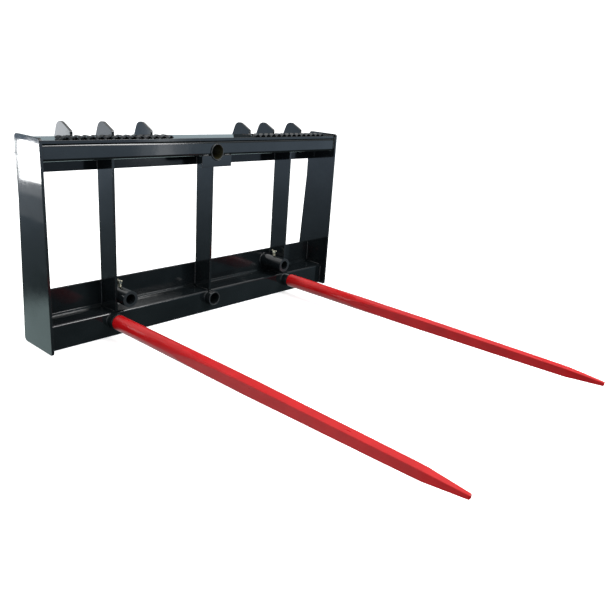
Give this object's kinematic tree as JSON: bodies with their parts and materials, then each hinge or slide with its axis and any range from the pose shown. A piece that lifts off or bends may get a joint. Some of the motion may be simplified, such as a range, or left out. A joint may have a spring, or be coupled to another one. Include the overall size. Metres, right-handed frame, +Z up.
{
  "type": "hay spear attachment frame",
  "caption": "Skid-steer quick-attach frame of black welded steel with long red bale spears, sleeves for further spears, wing screws, step treads and hook fins.",
  "frame": {"origin": "centre of the underside of the lower rail, in the plane on which the frame stands", "axes": "+Z up, -Y forward along the spears, +X along the rails; the machine couples on the +Y side"},
  "size_m": [1.168, 1.32, 0.618],
  "materials": {
    "black_paint": "glossy black enamel over welded steel",
    "red_paint": "glossy red enamel over forged steel",
    "yellow_zinc": "yellow-passivated zinc plate"
  },
  "bodies": {
    "frame": {"side_plate_left": "black_paint", "side_plate_right": "black_paint", "top_rail": "black_paint", "top_plate": "black_paint", "upper_rear_plate": "black_paint", "hook_flange": "black_paint", "lower_rail": "black_paint", "lower_rear_plate": "black_paint", "pin_lip": "black_paint", "upright_left": "black_paint", "upright_centre": "black_paint", "upright_right": "black_paint", "hook_fin_1": "black_paint", "hook_fin_2": "black_paint", "hook_fin_3": "black_paint", "hook_fin_4": "black_paint", "hook_fin_5": "black_paint", "hook_fin_6": "black_paint", "step_tread_left": "black_paint", "step_tread_right": "black_paint", "spear_socket_left": "black_paint", "spear_socket_right": "black_paint", "spear_left": "red_paint", "spear_right": "red_paint", "spear_washer_left": "yellow_zinc", "spear_washer_right": "yellow_zinc", "spear_nut_left": "yellow_zinc", "spear_nut_right": "yellow_zinc", "stabiliser_sleeve_left": "black_paint", "stabiliser_sleeve_right": "black_paint", "centre_sleeve_upper": "black_paint", "centre_sleeve_lower": "black_paint", "sleeve_bracket": "black_paint"},
    "wing_stem_left": {"wing_screw_stem_left": "yellow_zinc"},
    "wing_head_left": {"wing_screw_head_left": "yellow_zinc"},
    "wing_stem_right": {"wing_screw_stem_right": "yellow_zinc"},
    "wing_head_right": {"wing_screw_head_right": "yellow_zinc"}
  },
  "joints": [
    {"name": "wing_stem_left_slide", "type": "slide", "parent": "frame", "child": "wing_stem_left", "axis": [0, 0, 1], "range_m": [-0.0108, 0.0055]},
    {"name": "wing_head_left_turn", "type": "hinge", "parent": "wing_stem_left", "child": "wing_head_left", "pos_m": [-0.3315, -0.0105, 0.15], "axis": [0, 0, 1], "range_deg": [-2399, 1199]},
    {"name": "wing_stem_right_slide", "type": "slide", "parent": "frame", "child": "wing_stem_right", "axis": [0, 0, 1], "range_m": [-0.0108, 0.0055]},
    {"name": "wing_head_right_turn", "type": "hinge", "parent": "wing_stem_right", "child": "wing_head_right", "pos_m": [0.3315, -0.0105, 0.15], "axis": [0, 0, 1], "range_deg": [-2399, 1199]}
  ],
  "couplings": [
    {"joint": "wing_stem_left_slide", "follows": "wing_head_left_turn", "m_per_rad": 0.00023873},
    {"joint": "wing_stem_right_slide", "follows": "wing_head_right_turn", "m_per_rad": 0.00023873}
  ]
}
